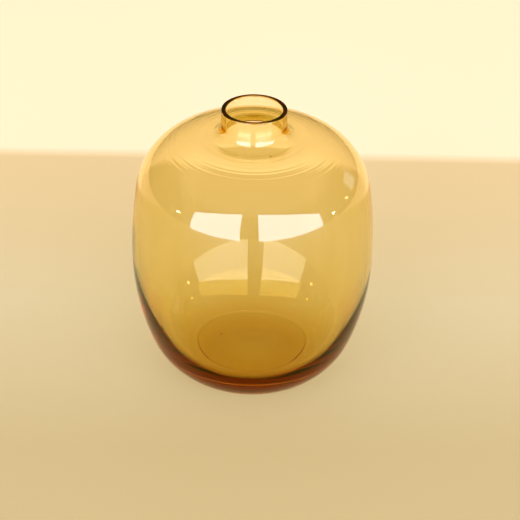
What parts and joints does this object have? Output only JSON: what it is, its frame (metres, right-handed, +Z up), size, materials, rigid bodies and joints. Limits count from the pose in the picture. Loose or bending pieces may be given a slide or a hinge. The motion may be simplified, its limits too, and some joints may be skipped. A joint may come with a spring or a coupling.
{
  "type": "bud vase",
  "caption": "Squat barrel-shaped bud vase of clear amber glass with a rounded shoulder, a short narrow neck, thin walls and a thick heavy base; it stands on its foot and holds stems in water.",
  "frame": {"origin": "middle of the foot, on the surface the vase stands on", "axes": "+Z up through the mouth along the axis of revolution; +X and +Y are any two radial directions"},
  "size_m": [0.098, 0.098, 0.12],
  "materials": {
    "amber_glass": "clear transparent amber glass, smooth and fire-polished"
  },
  "bodies": {
    "root": {"glass_vessel": "amber_glass"}
  },
  "joints": []
}
